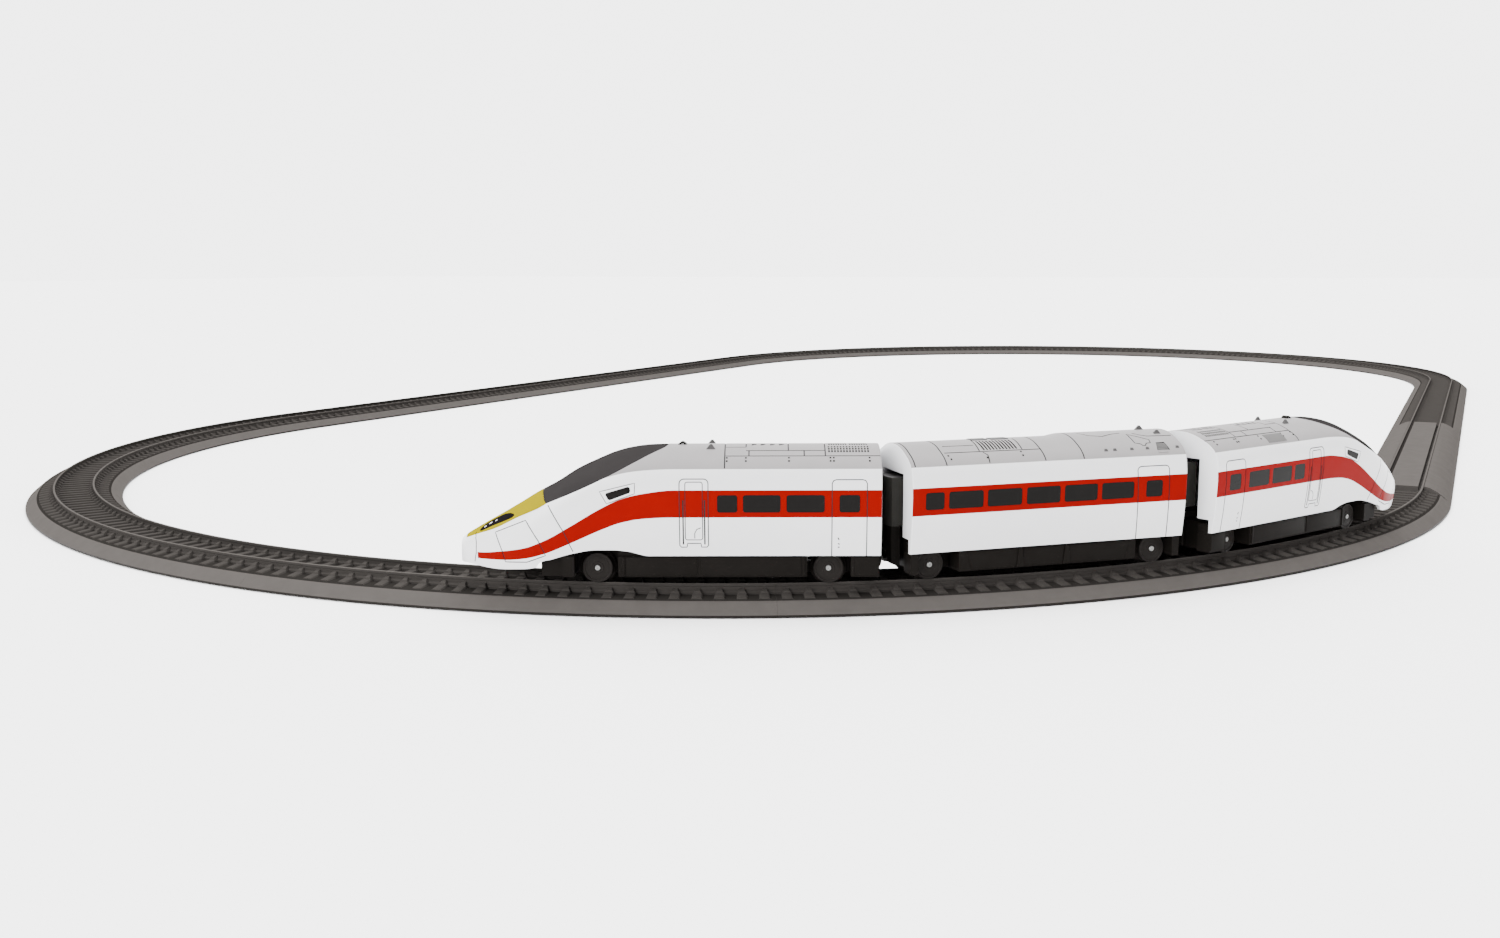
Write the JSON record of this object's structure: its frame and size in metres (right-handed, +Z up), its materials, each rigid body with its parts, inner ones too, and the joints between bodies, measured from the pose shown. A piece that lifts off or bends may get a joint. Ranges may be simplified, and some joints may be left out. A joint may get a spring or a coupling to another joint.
{
  "type": "electric train set",
  "caption": "Battery electric train of a powered head car, a middle car and a tail car with magnetic couplers on an oval of sectional roadbed track.",
  "frame": {"origin": "on the table, under the middle of the track oval", "axes": "+Y along the oval's straight sides away from the train, +X toward the side with the rerailing track, +Z up"},
  "size_m": [0.7628, 1.4164, 0.0552],
  "materials": {
    "track_plastic": "moulded roadbed with satin ballast texture",
    "body_white": "glossy white moulding with printed livery",
    "screen_tint": "dark tinted, polished",
    "chassis_black": "satin black moulding",
    "wheel_black": "satin black",
    "axle_steel": "turned",
    "cell_case": "plain printed jacket, no lettering",
    "motor_can": "drawn can",
    "worm_brass": "turned",
    "gear_nylon": "natural nylon",
    "board_green": "green resist",
    "magnet_nickel": "nickel plated"
  },
  "bodies": {
    "track": {"track_curve_near_1": "track_plastic", "track_curve_near_2": "track_plastic", "track_curve_near_3": "track_plastic", "track_curve_near_4": "track_plastic", "track_curve_near_5": "track_plastic", "track_curve_near_6": "track_plastic", "track_curve_far_1": "track_plastic", "track_curve_far_2": "track_plastic", "track_curve_far_3": "track_plastic", "track_curve_far_4": "track_plastic", "track_curve_far_5": "track_plastic", "track_curve_far_6": "track_plastic", "track_rerailer": "track_plastic", "track_straight_right": "track_plastic", "track_straight_left_near": "track_plastic", "track_straight_left_far": "track_plastic"},
    "power_car": {"power_body_shell": "body_white", "power_windscreen": "screen_tint", "power_chassis": "chassis_black", "power_battery_door": "chassis_black", "power_battery_1": "cell_case", "power_battery_2": "cell_case", "power_motor": "motor_can", "power_circuit_board": "board_green"},
    "middle_car": {"middle_body_shell": "body_white", "middle_chassis": "chassis_black"},
    "tail_car": {"tail_body_shell": "body_white", "tail_windscreen": "screen_tint", "tail_chassis": "chassis_black"},
    "power_wheelset_front": {"power_axle_front": "axle_steel", "power_wheel_front_left": "wheel_black", "power_wheel_front_right": "wheel_black"},
    "power_wheelset_rear": {"power_axle_rear": "axle_steel", "power_wheel_rear_left": "wheel_black", "power_wheel_rear_right": "wheel_black", "power_drive_gear": "gear_nylon"},
    "middle_wheelset_front": {"middle_axle_front": "axle_steel", "middle_wheel_front_left": "wheel_black", "middle_wheel_front_right": "wheel_black"},
    "middle_wheelset_rear": {"middle_axle_rear": "axle_steel", "middle_wheel_rear_left": "wheel_black", "middle_wheel_rear_right": "wheel_black"},
    "tail_wheelset_front": {"tail_axle_front": "axle_steel", "tail_wheel_front_left": "wheel_black", "tail_wheel_front_right": "wheel_black"},
    "tail_wheelset_rear": {"tail_axle_rear": "axle_steel", "tail_wheel_rear_left": "wheel_black", "tail_wheel_rear_right": "wheel_black"},
    "motor_shaft": {"power_motor_worm": "worm_brass"},
    "power_coupler": {"power_coupler": "chassis_black", "power_magnet": "magnet_nickel"},
    "middle_coupler_front": {"middle_coupler_front": "chassis_black", "middle_magnet_front": "magnet_nickel"},
    "middle_coupler_rear": {"middle_coupler_rear": "chassis_black", "middle_magnet_rear": "magnet_nickel"},
    "tail_coupler": {"tail_coupler": "chassis_black", "tail_magnet": "magnet_nickel"}
  },
  "joints": [
    {"name": "train_travel", "type": "hinge", "parent": "track", "child": "power_car", "pos_m": [0, -0.3268, 0], "axis": [0, 0, 1], "range_deg": [-108, 18]},
    {"name": "middle_car_travel", "type": "hinge", "parent": "track", "child": "middle_car", "pos_m": [0, -0.3268, 0], "axis": [0, 0, 1], "range_deg": [-108, 18]},
    {"name": "tail_car_travel", "type": "hinge", "parent": "track", "child": "tail_car", "pos_m": [0, -0.3268, 0], "axis": [0, 0, 1], "range_deg": [-108, 18]},
    {"name": "power_wheelset_front_spin", "type": "hinge", "parent": "power_car", "child": "power_wheelset_front", "pos_m": [0.12648, -0.66385, 0.01385], "axis": [0.4577, -0.8891, 0], "continuous": true},
    {"name": "power_wheelset_rear_spin", "type": "hinge", "parent": "power_car", "child": "power_wheelset_rear", "pos_m": [0.1956, -0.62902, 0.01385], "axis": [0.4577, -0.8891, 0], "continuous": true},
    {"name": "middle_wheelset_front_spin", "type": "hinge", "parent": "middle_car", "child": "middle_wheelset_front", "pos_m": [0.22124, -0.61079, 0.01385], "axis": [0.7071, -0.7071, 0], "continuous": true},
    {"name": "middle_wheelset_rear_spin", "type": "hinge", "parent": "middle_car", "child": "middle_wheelset_rear", "pos_m": [0.28229, -0.55022, 0.01385], "axis": [0.7071, -0.7071, 0], "continuous": true},
    {"name": "tail_wheelset_front_spin", "type": "hinge", "parent": "tail_car", "child": "tail_wheelset_front", "pos_m": [0.33645, -0.45486, 0.01385], "axis": [0.9004, -0.4351, 0], "continuous": true},
    {"name": "tail_wheelset_rear_spin", "type": "hinge", "parent": "tail_car", "child": "tail_wheelset_rear", "pos_m": [0.30129, -0.52383, 0.01385], "axis": [0.9004, -0.4351, 0], "continuous": true},
    {"name": "motor_shaft_spin", "type": "hinge", "parent": "power_car", "child": "motor_shaft", "pos_m": [0.19545, -0.62872, 0.0206], "axis": [0.8891, 0.4577, 0], "continuous": true},
    {"name": "power_coupler_swing", "type": "hinge", "parent": "power_car", "child": "power_coupler", "pos_m": [0.20283, -0.62492, 0.025], "axis": [0, 0, 1], "range_deg": [-25.4, 5.6]},
    {"name": "middle_coupler_front_swing", "type": "hinge", "parent": "middle_car", "child": "middle_coupler_front", "pos_m": [0.22136, -0.61091, 0.025], "axis": [0, 0, 1], "range_deg": [-7.6, 23.4]},
    {"name": "middle_coupler_rear_swing", "type": "hinge", "parent": "middle_car", "child": "middle_coupler_rear", "pos_m": [0.28217, -0.5501, 0.025], "axis": [0, 0, 1], "range_deg": [-19.1, 11.9]},
    {"name": "tail_coupler_swing", "type": "hinge", "parent": "tail_car", "child": "tail_coupler", "pos_m": [0.29843, -0.53166, 0.025], "axis": [0, 0, 1], "range_deg": [-0.6, 31.8]}
  ],
  "couplings": [
    {"joint": "middle_car_travel", "follows": "train_travel", "ratio": 1},
    {"joint": "tail_car_travel", "follows": "train_travel", "ratio": 1},
    {"joint": "power_wheelset_front_spin", "follows": "train_travel", "ratio": -70.588},
    {"joint": "power_wheelset_rear_spin", "follows": "train_travel", "ratio": -70.588},
    {"joint": "middle_wheelset_front_spin", "follows": "train_travel", "ratio": -70.588},
    {"joint": "middle_wheelset_rear_spin", "follows": "train_travel", "ratio": -70.588},
    {"joint": "tail_wheelset_front_spin", "follows": "train_travel", "ratio": -70.588},
    {"joint": "tail_wheelset_rear_spin", "follows": "train_travel", "ratio": -70.588},
    {"joint": "motor_shaft_spin", "follows": "train_travel", "ratio": -1270.6}
  ]
}
